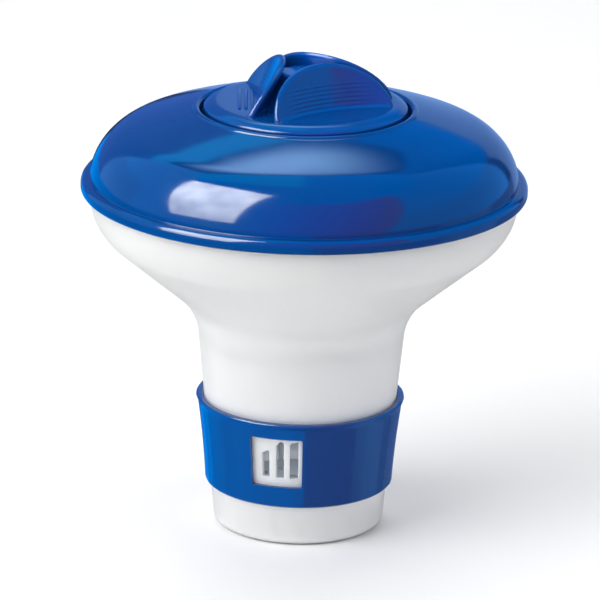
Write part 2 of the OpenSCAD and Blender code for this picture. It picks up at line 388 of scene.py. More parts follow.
def turned(sections, deg):
    """Sections turned round the axis."""
    m = Matrix.Rotation(math.radians(deg), 3, "Z")
    return [[m @ Vector(p) for p in section] for section in sections]


def thread(name, r_root, r_crest, z, sweep, deg):
    """Thread ridge that climbs by the lead; both ends run out into the wall."""
    n = math.ceil(sweep / 2)
    root = RIDGE_H / 2
    crest_h = RIDGE_H / 4
    sections = []
    for i in range(n + 1):
        at = sweep * i / n
        fade = min(1, at / 5, (sweep - at) / 5)
        crest = r_root + (r_crest - r_root) * (0.25 + 0.75 * math.sin(fade * math.pi / 2))
        m = z + LEAD * at / FULL
        edge_r = crest + (r_root - crest) * 0.12
        edge_h = 0.7 * crest_h
        section = [
            (r_root, m - root),
            (edge_r, m - crest_h),
            (crest, m - edge_h),
            (crest, m + edge_h),
            (edge_r, m + crest_h),
            (r_root, m + root),
        ]
        a = math.radians(deg + at)
        sections.append([(r * math.cos(a), r * math.sin(a), y) for r, y in section])
    return loft(name, sections)


# ---------------------------------------------------------------- dome
brow_c = (SHELL_R - BROW_R, RIM_TOP)
shoulder_c = ray(brow_c, BROW_R - SHOULDER_R, BROW_DEG)
crown_deg = 90 - SHOULDER_FALL
crown_c = ray(shoulder_c, SHOULDER_R - CROWN_R, crown_deg)


def crown_at(x, t):
    """Angle on the crown, t inside its outer face, at which it reaches radius x."""
    return math.degrees(math.acos((x - crown_c[0]) / (CROWN_R - t)))


def dome_skin(t, last):
    """Skin of the dome, t inside its outer face, from the rim to angle last on the crown."""
    return (
        arc(brow_c, BROW_R - t, 0, BROW_DEG)
        + arc(shoulder_c, SHOULDER_R - t, BROW_DEG, crown_deg)[1:]
        + arc(crown_c, CROWN_R - t, crown_deg, last)[1:]
    )


def make_dome():
    """Blue shell: rolled rim, crown, lip, well, and the threaded sleeve down to the hull's neck."""
    bead = (
        [(SHELL_R + PLAY, RIM_Z)]
        + arc((RIM_R - RIM_UNDER_R, RIM_Z + RIM_UNDER_R), RIM_UNDER_R, -90, 0)
        + arc((RIM_R - RIM_ROUND, RIM_TOP - RIM_ROUND), RIM_ROUND, 0, 90)
    )
    # The lip is a round bead that stands a little proud of the crown and meets it in a soft valley
    lip_c = ray(crown_c, CROWN_R - LIP_R + LIP_RISE, crown_at(WELL_R + LIP_R, LIP_R - LIP_RISE))
    far = math.dist(lip_c, crown_c)
    outward = math.degrees(math.atan2(lip_c[1] - crown_c[1], lip_c[0] - crown_c[0]))
    meet = math.degrees(math.acos((far**2 + CROWN_R**2 - LIP_R**2) / (2 * far * CROWN_R)))
    lip_deg = outward - meet
    foot = ray(crown_c, CROWN_R, lip_deg)
    start = math.degrees(math.atan2(foot[1] - lip_c[1], foot[0] - lip_c[0]))
    lip = arc(lip_c, LIP_R, start, 180)
    groove = (NECK_R - RING_SEAL_R - PLAY / 2, RING_SEAL_Z)
    groove_r = RING_SEAL_R + PLAY / 2
    half = math.degrees(math.acos((BOSS_R - groove[0]) / groove_r))
    sleeve = (
        [(WELL_R, WELL_Z), (SLEEVE_R, WELL_Z), (SLEEVE_R, SLEEVE_Z + BOSS_H),
         (BOSS_IN, SLEEVE_Z + BOSS_H - BOSS_RAMP), (BOSS_IN, SLEEVE_Z), (BOSS_R - LEAD_IN, SLEEVE_Z),
         (BOSS_R, SLEEVE_Z + LEAD_IN)]
        + arc(groove, groove_r, FULL - half, half)
        + [(BOSS_R, SLEEVE_Z + BOSS_H - BOSS_RAMP), (SLEEVE_OUT, SLEEVE_Z + BOSS_H),
           (SLEEVE_OUT, WELL_Z - WALL), (WELL_R + WALL, WELL_Z - WALL)]
    )
    inside = list(reversed(dome_skin(WALL, crown_at(WELL_R + WALL, WALL))))
    socket = [(SHELL_R - WALL, SEAL_LAND), (SHELL_R + PLAY, SEAL_LAND)]
    outline = bead + dome_skin(0, lip_deg) + lip[1:] + sleeve + inside + socket
    dome = lathe("dome_shell", refine(soften(outline, 0.25), 2.5))
    ridges = [
        thread(f"ridge_{k}", SLEEVE_R + SINK, SKIRT_R + MATE_GAP, RIDGE_Z, RIDGE_ARC, k * FULL / STARTS)
        for k in range(STARTS)
    ]
    combine(dome, ridges, "UNION")
    smooth(dome)
    return dome


# ---------------------------------------------------------------- hull and tube
bilge_c = (SHELL_R - BILGE_R, RIM_Z - BILGE_DROP)
bilge_end = ray(bilge_c, BILGE_R, FUNNEL_FALL - 90)
fall = math.radians(FUNNEL_FALL)
lean = math.radians(TAPER_DEG)
fillet_z = (
    FILLET_R
    - (FOOT_R + FILLET_R * math.cos(lean) - bilge_end[0]) * math.sin(fall)
    - (FILLET_R * math.sin(lean) + bilge_end[1]) * math.cos(fall)
) / (TAPER * math.sin(fall) - math.cos(fall))
fillet_c = (tube_r(fillet_z) + FILLET_R * math.cos(lean), fillet_z - FILLET_R * math.sin(lean))


def hull_skin(t, last):
    """Skin of the hull, t inside its outer face, from the rim down to angle last on the fillet."""
    bilge = arc(bilge_c, BILGE_R - t, 0, FUNNEL_FALL - 90)
    return bilge + arc(fillet_c, FILLET_R + t, 90 + FUNNEL_FALL, last)


def slot_cutter(k, side):
    """Straight cutter through one side of the tube's wall."""
    width, height, deg, tip = SLOTS[k]
    w = width / 2
    peak = SLOT_Z + height
    outline = soften([(-w, SLOT_Z), (w, SLOT_Z)] + [(x * w, peak - y) for x, y in tip], 0.25)
    sections = [[(r, x, z) for x, z in outline] for r in (FOOT_R / 2, 1.5 * FOOT_R)]
    return loft(f"slot_{k}_{side}", turned(sections, side + deg))


def tube_wave(deg, r, z):
    """Faint flats that the guide ribs inside leave on the outside of the tube as it cools."""
    if z > fillet_z or r < tube_r(z) - 0.5:
        return 0
    near = min(1, (fillet_z - z) / FLAT_FADE[1], max(0, (z - FOOT_ROUND) / FLAT_FADE[0]))
    return -FLAT_DEPTH * near * (0.5 + 0.5 * math.cos(math.radians(deg * RIB_COUNT))) ** 4


def make_hull():
    """White shell: funnel, neck, tapering tube with bead, slots and base, and guide ribs in the foot."""
    foot = arc((tube_r(FOOT_ROUND) - FOOT_ROUND, FOOT_ROUND), FOOT_ROUND, -90, -TAPER_DEG)
    outside = list(reversed(hull_skin(0, 180 - TAPER_DEG)))
    bead = arc((tube_r(BEAD_Z), BEAD_Z), BEAD_R, -90, 90)
    brim = [(SHELL_R, HULL_TOP), (SHELL_R - WALL, HULL_TOP)]
    neck_top = RING_SEAL_Z + NECK_H / 2
    neck_foot = fillet_z - NECK_STEP
    neck = [(NECK_R + LEAD_IN, neck_top + LEAD_IN), (NECK_R, neck_top),
            (NECK_R, fillet_z - LEAD_IN), (bore_r(neck_foot), neck_foot)]
    heel = arc((bore_r(FLOOR_H + HEEL_R) - HEEL_R, FLOOR_H + HEEL_R), HEEL_R, 0, -90)
    outline = (
        [(0, 0)] + foot + bead + outside + brim + hull_skin(WALL, FILLET_STOP) + neck + heel + [(0, FLOOR_H)]
    )
    hull = lathe("hull_shell", refine(soften(outline, 0.2, False), 1.2, False), False, tube_wave)
    r0 = bore_r(FLOOR_H) - RIB_DEPTH
    r1 = bore_r(FLOOR_H) + WALL / 2
    half = RIB_WIDTH / 2
    section = [(r0, -half + RIB_EDGE), (r0 + RIB_EDGE, -half), (r1, -half), (r1, half), (r0 + RIB_EDGE, half),
               (r0, half - RIB_EDGE)]
    rows = [[(x, y, z) for x, y in section] for z in (FLOOR_H - SINK, RIB_TOP - RIB_SLOPE)]
    rows.append([(max(x, r0 + RIB_DEPTH), y, RIB_TOP) for x, y in section])
    ribs = [loft(f"rib_{k}", turned(rows, (k + 0.5) * FULL / RIB_COUNT)) for k in range(RIB_COUNT)]
    combine(hull, ribs, "UNION")
    combine(hull, [slot_cutter(k, side) for side in SIDES for k in range(len(SLOTS))], "DIFFERENCE")
    tidy_mesh(hull)
    smooth(hull)
    return hull


# ---------------------------------------------------------------- control ring
def ring_wave(deg, r, z):
    """Faint upright flutes left by the mould on the ring's outer face."""
    if r < RING_LOW_R - SINK:
        return 0
    return sum(depth * math.sin(count * math.radians(deg) + phase) for count, depth, phase in FLUTES)


def make_ring():
    """Blue ring: flared face, rounded lip, inner groove for the tube's bead, and two windows."""
    swell = RING_HIGH_R - RING_LOW_R
    lip_in = tube_r(RING_TOP) + LIP_GAP
    lip_z = RING_TOP - LIP_ROUND
    face_h = RING_TOP - LIP_FOOT - RING_EDGE - RING_Z
    face = []
    for i in range(17):
        t = i / 16
        face.append((RING_LOW_R + swell * (0.6 * t + 0.4 * t * t), RING_Z + RING_EDGE + t * face_h))
    groove = arc((tube_r(BEAD_Z), BEAD_Z), BEAD_R + RING_GAP, 68, -68)
    outline = (
        [(tube_r(RING_Z) + RING_GAP, RING_Z), (RING_LOW_R - RING_EDGE, RING_Z)]
        + face
        + arc((RING_LIP_R - LIP_ROUND, lip_z), LIP_ROUND, 0, 90)
        + arc((lip_in + LIP_ROUND, lip_z), LIP_ROUND, 90, 180)
        + [(tube_r(RING_TOP - LIP_LAND) + RING_GAP, RING_TOP - LIP_LAND)]
        + groove
    )
    ring = lathe("flow_ring", refine(soften(outline, 0.3), 1), wave=ring_wave)
    # The window's outline is in degrees round the ring and millimetres up it
    corner = math.degrees(WINDOW_CORNER / RING_LOW_R)
    side_deg = WINDOW_ARC / 2 - corner
    foot_z = WINDOW_Z + WINDOW_CORNER
    head_z = WINDOW_Z + WINDOW_H - WINDOW_CORNER
    window = []
    corners = [(side_deg, foot_z), (side_deg, head_z), (-side_deg, head_z), (-side_deg, foot_z)]
    for start, (x, z) in zip((-90, 0, 90, 180), corners):
        for i in range(7):
            a = math.radians(start + 15 * i)
            window.append((x + corner * math.cos(a), z + WINDOW_CORNER * math.sin(a)))
    window = refine(window, 1)
    cutters = []
    for side in SIDES:
        sections = [[(*ray((0, 0), r, side + d), z) for d, z in window] for r in (FOOT_R, 1.5 * FOOT_R)]
        cutters.append(loft(f"window_{side}", sections))
    combine(ring, cutters, "DIFFERENCE", "EXACT")
    tidy_mesh(ring)
    smooth(ring)
    return ring


# ---------------------------------------------------------------- cap
def grip_top(r):
    """Height of the grip's dome at radius r."""
    inner, outer = GRIP_POWERS
    return GRIP_H * max(0, 1 - min(1, r / GRIP_R) ** inner) ** outer


def on_scoop(phi, d):
    """Point at distance d from a scoop's own axis, in direction phi."""
    return (SCOOP_NEAR + SCOOP_R - d * math.cos(phi), d * math.sin(phi))


def wall_height(phi):
    """Height at which the middle of a grip wall meets the grip's dome, in direction phi."""
    lo = -1.2
    hi = GRIP_H
    for _ in range(40):
        z = (lo + hi) / 2
        r = math.hypot(*on_scoop(phi, SCOOP_R + SCOOP_LEAN * z + GRIP_WALL / 2))
        inside = r < GRIP_R and z < grip_top(r)
        lo, hi = (z, hi) if inside else (lo, z)
    return lo


def rib_bump(z, phi, widest, height):
    """Height of the fine ribs on a scoop's face."""
    k = round(z / GRIP_RIB_PITCH)
    if not 1 <= k <= GRIP_RIBS:
        return 0
    off = abs(z - k * GRIP_RIB_PITCH) / (0.36 * GRIP_RIB_PITCH)
    side = abs(phi) / widest
    fade = max(0, min(1, (0.75 - side) / 0.25))
    return height * fade * max(0, 1 - off * off)


def fillet(z, end):
    """How far a grip wall's face flares at height z, if the face is taller than its fillet."""
    foot = max(0, GRIP_FILLET - max(0, z)) if end > GRIP_FILLET else 0
    return GRIP_FILLET * foot * foot


def grip_wall(name, deg, rib_h):
    """One leaning, arched wall with a rounded top, fine ribs on its scoop side and fillets at its foot."""
    widest = 0.0
    while wall_height(widest) > 0.02:
        widest += 0.002
    stations = 150
    sink = 0.8
    step = GRIP_RIB_PITCH / 8
    tilt = math.atan(SCOOP_LEAN)
    half = GRIP_WALL * math.cos(tilt) / 2
    levels = [-sink + step * i for i in range(math.ceil((GRIP_H + sink) / step) + 1)]
    sections = []
    for i in range(stations + 1):
        phi = widest * 1.012 * math.sin(math.pi * (i / stations - 0.5))
        peak = max(wall_height(phi), -0.3)
        # The rounded top is half an ellipse round a point on the wall's middle line
        centre_z = peak - half * math.hypot(math.sin(tilt), GRIP_CREST * math.cos(tilt))
        front_end = centre_z + half * math.sin(tilt)
        back_end = centre_z - half * math.sin(tilt)
        centre_d = SCOOP_R + GRIP_WALL / 2 + SCOOP_LEAN * centre_z
        section = []
        for z in levels:
            y = min(z, front_end)
            d = SCOOP_R + SCOOP_LEAN * y - rib_bump(y, phi, widest, rib_h)
            section.append((d - fillet(y, front_end), y))
        for k in range(1, 12):
            a = math.radians(180 * k / 12)
            # From the front face's normal, over the top, to the back face's
            nd = -math.cos(a) * math.cos(tilt) + GRIP_CREST * math.sin(a) * math.sin(tilt)
            nz = math.cos(a) * math.sin(tilt) + GRIP_CREST * math.sin(a) * math.cos(tilt)
            section.append((centre_d + half * nd, centre_z + half * nz))
        for z in reversed(levels[::4] + levels[-1:]):
            y = min(z, back_end)
            section.append((SCOOP_R + GRIP_WALL + SCOOP_LEAN * y + fillet(y, back_end), y))
        sections.append([(*on_scoop(phi, d), FACE_Z + z) for d, z in section])
    return loft(name, turned(sections, deg))


def bar(name, x, deg):
    """Low raised bar with rounded edges and ends, to line the cap up by."""
    half = BAR_WIDTH / 2
    section = soften([(-half, -SINK), (half, -SINK), (half, BAR_H), (-half, BAR_H)], 0.3)
    rows = []
    for y, s in ((-0.5, 0.5), (-0.47, 0.85), (-0.44, 1), (0.44, 1), (0.47, 0.85), (0.5, 0.5)):
        rows.append([(x + u * s, y * BAR_LENGTH, FACE_Z + (v * s if v > 0 else v)) for u, v in section])
    return loft(name, turned(rows, deg))


def make_cap():
    """Blue cap: flange, skirt, lugs, a hub cut by three scoops, a grip wall behind each, and three bars."""
    round_z = FACE_Z - SHOULDER_ARC_R + (SHOULDER_ARC_R - EDGE_R) * math.sin(math.radians(EDGE_DEG))
    edge_c = (CAP_R - EDGE_R, round_z)
    shoulder_at = ray(edge_c, EDGE_R - SHOULDER_ARC_R, EDGE_DEG)
    under = FACE_Z - PLATE_H
    outline = (
        [(0, under), (SKIRT_IN, under), (SKIRT_IN, SKIRT_Z), (SKIRT_R - CAP_LEAD_IN, SKIRT_Z),
         (SKIRT_R, SKIRT_Z + CAP_LEAD_IN), (SKIRT_R, FLANGE_Z), (CAP_R - CAP_LEAD_IN, FLANGE_Z),
         (CAP_R, FLANGE_Z + CAP_LEAD_IN), (CAP_R, round_z)]
        + arc(edge_c, EDGE_R, 0, EDGE_DEG)[1:]
        + arc(shoulder_at, SHOULDER_ARC_R, EDGE_DEG, 90)[1:]
        + [(0, FACE_Z)]
    )
    cap = lathe("screw_cap", refine(soften(outline, 0.2, False), 2, False), False)
    hub_outline = (
        [(0, -2 * SINK), (HUB_FOOT_R, -2 * SINK)]
        + arc(HUB_FLANK_C, HUB_FLANK_R, 261, 200)
        + [(HUB_R, HUB_H), (0, HUB_H)]
    )
    hub_outline = [(r, FACE_Z + z) for r, z in hub_outline]
    hub = lathe("hub", refine(soften(hub_outline, 0.3, False), 1.5, False), False)
    angles = [GRIP_ANGLE + k * FULL / GRIP_COUNT for k in range(GRIP_COUNT)]
    scoops = []
    for k, deg in enumerate(angles):
        rows = []
        for z in (-2, GRIP_H + 2):
            d = SCOOP_R + SCOOP_LEAN * z + GRIP_WALL / 2
            rows.append([(*on_scoop(math.radians(2 * i), d), FACE_Z + z) for i in range(180)])
        scoops.append(loft(f"scoop_{k}", turned(rows, deg)))
    combine(hub, scoops, "DIFFERENCE")
    parts = [hub] + [grip_wall(f"grip_{k}", deg, GRIP_RIB_H[k]) for k, deg in enumerate(angles)]
    parts += [bar(f"bar_{k}", x, angles[0] - FULL / GRIP_COUNT) for k, x in enumerate(BAR_X)]
    parts += [
        thread(f"lug_{k}", SKIRT_R - SINK, SKIRT_R + LUG_OUT, LUG_Z, LUG_ARC, k * FULL / STARTS)
        for k in range(STARTS)
    ]
    combine(cap, parts, "UNION")
    tidy_mesh(cap, 0.01)
    smooth(cap, 28)
    return cap


# ---------------------------------------------------------------- materials
PLASTIC_IOR = 1.49


def material(name):
    """New node material; returns it with its tree and its Principled shader."""
    mat = bpy.data.materials.new(name)
    mat.use_nodes = True
    tree = mat.node_tree
    return mat, tree, tree.nodes["Principled BSDF"]


def noise(tree, scale, stretch=(1, 1, 1), detail=2.0):
    """Factor of a noise of about that many cells a metre, in the object's own frame."""
    where = tree.nodes.new("ShaderNodeTexCoord")
    mapping = tree.nodes.new("ShaderNodeMapping")
    mapping.inputs["Scale"].default_value = stretch
    made = tree.nodes.new("ShaderNodeTexNoise")
    made.inputs["Scale"].default_value = scale
    made.inputs["Detail"].default_value = detail
    tree.links.new(where.outputs["Object"], mapping.inputs["Vector"])
    tree.links.new(mapping.outputs["Vector"], made.inputs["Vector"])
    return made.outputs["Fac"]


def map_range(tree, value, source, target, shape="LINEAR"):
    """Maps one range of a value to another."""
    made = tree.nodes.new("ShaderNodeMapRange")
    made.interpolation_type = shape
    for name, limit in zip(("From Min", "From Max", "To Min", "To Max"), (*source, *target)):
        made.inputs[name].default_value = limit
    tree.links.new(value, made.inputs["Value"])
    return made.outputs["Result"]


def spread(tree, factor, low_value, high_value):
    """Maps a noise's middle range to a range of values."""
    return map_range(tree, factor, (0.3, 0.7), (low_value, high_value))


def product(tree, a, b):
    """Product of two node values."""
    made = tree.nodes.new("ShaderNodeMath")
    made.operation = "MULTIPLY"
    tree.links.new(a, made.inputs[0])
    tree.links.new(b, made.inputs[1])
    return made.outputs["Value"]


def blend_colours(tree, factor, a, b):
    """Mix of two colours."""
    made = tree.nodes.new("ShaderNodeMix")
    made.data_type = "RGBA"
    made.inputs["A"].default_value = (*a, 1)
    made.inputs["B"].default_value = (*b, 1)
    tree.links.new(factor, made.inputs["Factor"])
    return made.outputs["Result"]


def bump(tree, shader, layers):
    """Chains bumps of (factor, strength, height in mm) into the shader's normal."""
    last = None
    for factor, strength, height in layers:
        made = tree.nodes.new("ShaderNodeBump")
        made.inputs["Strength"].default_value = strength
        made.inputs["Distance"].default_value = height * MM
        tree.links.new(factor, made.inputs["Height"])
        if last is not None:
            tree.links.new(last, made.inputs["Normal"])
        last = made.outputs["Normal"]
    tree.links.new(last, shader.inputs["Normal"])


def plastic(name, dark, light, rough, grain, grain_mm, flow=(1, 1, 1), specular=0.5, soft=0.0):
    """Moulded plastic: slow colour drift and uneven gloss along the flow, faint waviness and a fine skin."""
    mat, tree, shader = material(name)
    drift = noise(tree, 22, flow, 3)
    gloss = noise(tree, 160, flow, 4)
    skin = noise(tree, grain)
    wave = noise(tree, 70, detail=1)
    tree.links.new(blend_colours(tree, spread(tree, drift, 0, 1), dark, light), shader.inputs["Base Color"])
    tree.links.new(spread(tree, gloss, *rough), shader.inputs["Roughness"])
    bump(tree, shader, [(skin, 0.5, grain_mm), (wave, 0.5, 0.05)])
    shader.inputs["IOR"].default_value = PLASTIC_IOR
    shader.inputs["Specular IOR Level"].default_value = specular
    if soft:
        shader.inputs["Subsurface Weight"].default_value = soft
        shader.inputs["Subsurface Radius"].default_value = (1, 1, 1.05)
        shader.inputs["Subsurface Scale"].default_value = 5 * MM
    return mat


BLUE = ((0.0, 0.037, 0.178), (0.0, 0.043, 0.198))
WHITE = ((0.80, 0.81, 0.82), (0.86, 0.865, 0.87))
BLACK = ((0.012, 0.012, 0.013), (0.025, 0.025, 0.026))
STEEL = ((0.42, 0.42, 0.43), (0.58, 0.58, 0.6))

blue_shell = plastic("blue_polypropylene", *BLUE, (0.08, 0.13), 1600, 0.004)
blue_ring = plastic("blue_ring_plastic", *BLUE, (0.13, 0.2), 1400, 0.006, flow=(1, 1, 0.12), specular=0.8)
blue_cap = plastic("blue_cap_plastic", *BLUE, (0.12, 0.19), 1500, 0.008)
white_shell = plastic("white_polyethylene", *WHITE, (0.3, 0.42), 1200, 0.008, flow=(1, 1, 0.3),
                      specular=0.15, soft=1.0)
white_grate = plastic("white_grate_plastic", *WHITE, (0.4, 0.5), 900, 0.02)
rubber = plastic("black_rubber", *BLACK, (0.55, 0.7), 2200, 0.03)


def steel():
    """Turned steel: fine rings round the axis."""
    mat, tree, shader = material("turned_steel")
    where = tree.nodes.new("ShaderNodeTexCoord")
    rings = tree.nodes.new("ShaderNodeTexWave")
    rings.wave_type = "RINGS"
    rings.rings_direction = "Z"
    rings.inputs["Scale"].default_value = 700
    rings.inputs["Distortion"].default_value = 0.6
    rings.inputs["Detail"].default_value = 3
    tree.links.new(where.outputs["Object"], rings.inputs["Vector"])
    stain = noise(tree, 90, detail=4)
    tree.links.new(blend_colours(tree, spread(tree, stain, 0, 1), *STEEL), shader.inputs["Base Color"])
    tree.links.new(spread(tree, stain, 0.28, 0.45), shader.inputs["Roughness"])
    bump(tree, shader, [(rings.outputs["Fac"], 0.4, 0.02)])
    shader.inputs["Metallic"].default_value = 1
    return mat


def dress(obj, mat):
    """Gives a piece its one material."""
    obj.data.materials.clear()
    obj.data.materials.append(mat)


# ---------------------------------------------------------------- pieces
PIECES = [
    (make_dome, "float", "float_dome", blue_shell, "blue_shell"),
    (make_hull, "float", "float_hull", white_shell, "white_shell"),
    (make_ring, "ring", "control_ring", blue_ring, "blue_ring"),
    (make_cap, "cap", "twist_cap", blue_cap, "blue_cap"),
]
blue_pieces = bpy.data.collections.new("blue_pieces")
cap_alone = bpy.data.collections.new("cap_alone")
for make, body, node, mat, slot in PIECES:
    piece = make()
    if slot.startswith("blue"):
        blue_pieces.objects.link(piece)
    if body == "cap":
        cap_alone.objects.link(piece)
    dress(piece, mat)
    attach(piece, body)
    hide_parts(node)

KEPT = {
    "cap_gasket": (rubber, "seal_rubber"),
    "rim_seal": (rubber, "seal_rubber"),
    "neck_seal": (rubber, "seal_rubber"),
    "ballast_disc": (steel(), "ballast_steel"),
    "tablet_grate": (white_grate, "white_grate"),
}
for node, (mat, slot) in KEPT.items():
    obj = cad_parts[node]
    for k in range(len(obj.material_slots)):
        obj.material_slots[k].material = mat
    if not obj.material_slots:
        obj.data.materials.append(mat)


# ---------------------------------------------------------------- studio
CAMERA_AZ = 13.5
CAMERA_EL = 17.77
CAMERA_FAR = 1.4
CAMERA_ROLL = 0.0198
CAMERA_LENS = 298.2
CAMERA_SHIFT = -0.0033
TARGET = Vector((0, 0, 0.06488))


def direction(az, el):
    """Unit vector from the object, az degrees right of the camera's side of it and el degrees up."""
    a = math.radians(az + CAMERA_AZ)
    e = math.radians(el)
    return Vector((math.sin(a) * math.cos(e), -math.cos(a) * math.cos(e), math.sin(e)))


def make_camera():
    """Camera at the photograph's angle, aimed at the object's middle."""
    data = bpy.data.cameras.new("camera")
    data.sensor_width = 36
    data.lens = CAMERA_LENS
    data.shift_x = CAMERA_SHIFT
    data.clip_end = 50
    cam = bpy.data.objects.new("camera", data)
    bpy.context.scene.collection.objects.link(cam)
    back = direction(0, CAMERA_EL)
    cam.location = TARGET + back * CAMERA_FAR
    turn = (-back).to_track_quat("-Z", "Y").to_matrix()
    cam.rotation_euler = (turn @ Matrix.Rotation(CAMERA_ROLL, 3, "Z")).to_euler()
    bpy.context.scene.camera = cam


def emitter(name, colour, strength):
    """New material that only glows; returns it with its tree and its shader."""
    mat = bpy.data.materials.new(name)
    mat.use_nodes = True
    tree = mat.node_tree
    tree.nodes.clear()
    glow = tree.nodes.new("ShaderNodeEmission")
    glow.inputs["Color"].default_value = (*colour, 1)
    glow.inputs["Strength"].default_value = strength
    end = tree.nodes.new("ShaderNodeOutputMaterial")
    tree.links.new(glow.outputs["Emission"], end.inputs["Surface"])
    return mat, tree, glow


def across(tree, axis):
    """Share of a panel's width (X) or height (Y) at which a point lies."""
    where = tree.nodes.new("ShaderNodeTexCoord")
    split = tree.nodes.new("ShaderNodeSeparateXYZ")
    tree.links.new(where.outputs["Generated"], split.inputs["Vector"])
    return split.outputs[axis]


def fading(tree, axis, edge, peak):
    """Strength that climbs smoothly from nothing at both edges of a panel to the peak."""
    fold = tree.nodes.new("ShaderNodeMath")
    fold.operation = "PINGPONG"
    fold.inputs[1].default_value = 0.5
    tree.links.new(across(tree, axis), fold.inputs[0])
    return map_range(tree, fold.outputs["Value"], (0, edge), (0, peak), "SMOOTHSTEP")


def card(name, az, el, far, size, strength, colour=(1, 1, 1), soft=0.0, roll=0.0, shift=(0, 0), creased=False,
         mirrored=True, only=None):
    """Light panel that faces the object.

    Its edges can fade over the share soft of it, or it can be creased cloth, dimmer at its foot. A mirrored
    panel is only seen in gloss, and one that isn't only lights surfaces. It can shine on some pieces only.
    """
    bm = bmesh.new()
    w = size[0] / 2
    h = size[1] / 2
    quad = [bm.verts.new((shift[0] + x, shift[1] + y, 0)) for x, y in ((-w, -h), (w, -h), (w, h), (-w, h))]
    bm.faces.new(quad)
    obj = link_mesh(bm, name)
    out = direction(az, el)
    obj.location = TARGET + out * far
    turn = out.to_track_quat("Z", "Y").to_matrix()
    obj.rotation_euler = (turn @ Matrix.Rotation(math.radians(roll), 3, "Z")).to_euler()
    mat, tree, glow = emitter(name, colour, strength)
    if soft:
        glow_now = product(tree, fading(tree, "X", soft, strength), fading(tree, "Y", soft, 1))
        tree.links.new(glow_now, glow.inputs["Strength"])
    if creased:
        creases = spread(tree, noise(tree, 7, (1, 0.5, 1), 6), 0.55, 1.15)
        rise = map_range(tree, across(tree, "Y"), (0.1, 0.55), (0.6 * strength, strength))
        tree.links.new(product(tree, creases, rise), glow.inputs["Strength"])
    obj.data.materials.append(mat)
    obj.visible_camera = False
    obj.visible_diffuse = not mirrored
    obj.visible_glossy = mirrored
    obj.visible_transmission = False
    obj.visible_shadow = False
    if only:
        obj.light_linking.receiver_collection = only


def screen(name, foot_az, head_az, el_range, colour):
    """Part of a wide sphere round the object that only the gloss of the blue pieces mirrors."""
    bm = bmesh.new()
    step = 5
    far = 3.0
    n_az = math.ceil((head_az[1] - head_az[0]) / step)
    n_el = math.ceil((el_range[1] - el_range[0]) / step)
    rows = []
    for j in range(n_el + 1):
        t = j / n_el
        el = el_range[0] + (el_range[1] - el_range[0]) * t
        left = foot_az[0] + (head_az[0] - foot_az[0]) * t
        right = foot_az[1] + (head_az[1] - foot_az[1]) * t
        rows.append([
            bm.verts.new(TARGET + far * direction(left + (right - left) * i / n_az, el))
            for i in range(n_az + 1)
        ])
    for a, b in zip(rows, rows[1:]):
        for i in range(n_az):
            bm.faces.new([a[i], a[i + 1], b[i + 1], b[i]])
    obj = link_mesh(bm, name)
    obj.data.materials.append(emitter(name, colour, 1.0)[0])
    obj.visible_camera = False
    obj.visible_diffuse = False
    obj.visible_transmission = False
    obj.visible_shadow = False
    obj.light_linking.receiver_collection = blue_pieces


def make_glow(name, watts, height, size, only=None):
    """Small soft lamp on the axis, for light that passes through walls or bounces between them."""
    data = bpy.data.lights.new(name, "POINT")
    data.energy = watts
    data.color = (0.76, 0.87, 1.0)
    data.shadow_soft_size = size
    obj = bpy.data.objects.new(name, data)
    bpy.context.scene.collection.objects.link(obj)
    obj.location = (0, 0, height)
    obj.visible_camera = False
    obj.visible_glossy = False
    if only:
        obj.light_linking.receiver_collection = only


def make_floor():
    """Wide pale disc just under the object."""
    bm = bmesh.new()
    far = 6.0
    edges = 64
    bm.faces.new([bm.verts.new((*ray((0, 0), far, FULL * k / edges), 0)) for k in range(edges)])
    floor = link_mesh(bm, "floor")
    floor.location.z = -0.2 * MM
    mat, tree, shader = material("pale_floor")
    tone = noise(tree, 9, detail=3)
    pale = blend_colours(tree, tone, (0.88, 0.88, 0.885), (0.9, 0.9, 0.9))
    tree.links.new(pale, shader.inputs["Base Color"])
    shader.inputs["Roughness"].default_value = 0.8
    shader.inputs["Specular IOR Level"].default_value = 0.1
    # Away from the object the floor passes into the white backdrop, to the camera only
    where = tree.nodes.new("ShaderNodeTexCoord")
    length = tree.nodes.new("ShaderNodeVectorMath")
    length.operation = "LENGTH"
    tree.links.new(where.outputs["Object"], length.inputs[0])
    away = map_range(tree, length.outputs["Value"], (0.4, 1.2), (0, 1), "SMOOTHSTEP")
    rays = tree.nodes.new("ShaderNodeLightPath")
    backdrop = tree.nodes.new("ShaderNodeEmission")
    blend = tree.nodes.new("ShaderNodeMixShader")
    tree.links.new(product(tree, away, rays.outputs["Is Camera Ray"]), blend.inputs["Fac"])
    tree.links.new(shader.outputs["BSDF"], blend.inputs[1])
    tree.links.new(backdrop.outputs["Emission"], blend.inputs[2])
    tree.links.new(blend.outputs["Shader"], tree.nodes["Material Output"].inputs["Surface"])
    floor.data.materials.append(mat)
    floor.visible_glossy = False


def make_world(seen, ambient, shine):
    """White where the camera looks past the floor, and dimmer where surfaces are lit by it or mirror it."""
    world = bpy.data.worlds.new("studio")
    bpy.context.scene.world = world
    world.use_nodes = True
    tree = world.node_tree
    back = tree.nodes["Background"]
    rays = tree.nodes.new("ShaderNodeLightPath")
    first = tree.nodes.new("ShaderNodeMix")
    first.inputs["A"].default_value = ambient
    first.inputs["B"].default_value = shine
    tree.links.new(rays.outputs["Is Glossy Ray"], first.inputs["Factor"])
    second = tree.nodes.new("ShaderNodeMix")
    second.inputs["B"].default_value = seen
    tree.links.new(rays.outputs["Is Camera Ray"], second.inputs["Factor"])
    tree.links.new(first.outputs["Result"], second.inputs["A"])
    tree.links.new(second.outputs["Result"], back.inputs["Strength"])
    back.inputs["Color"].default_value = (1, 1, 1, 1)


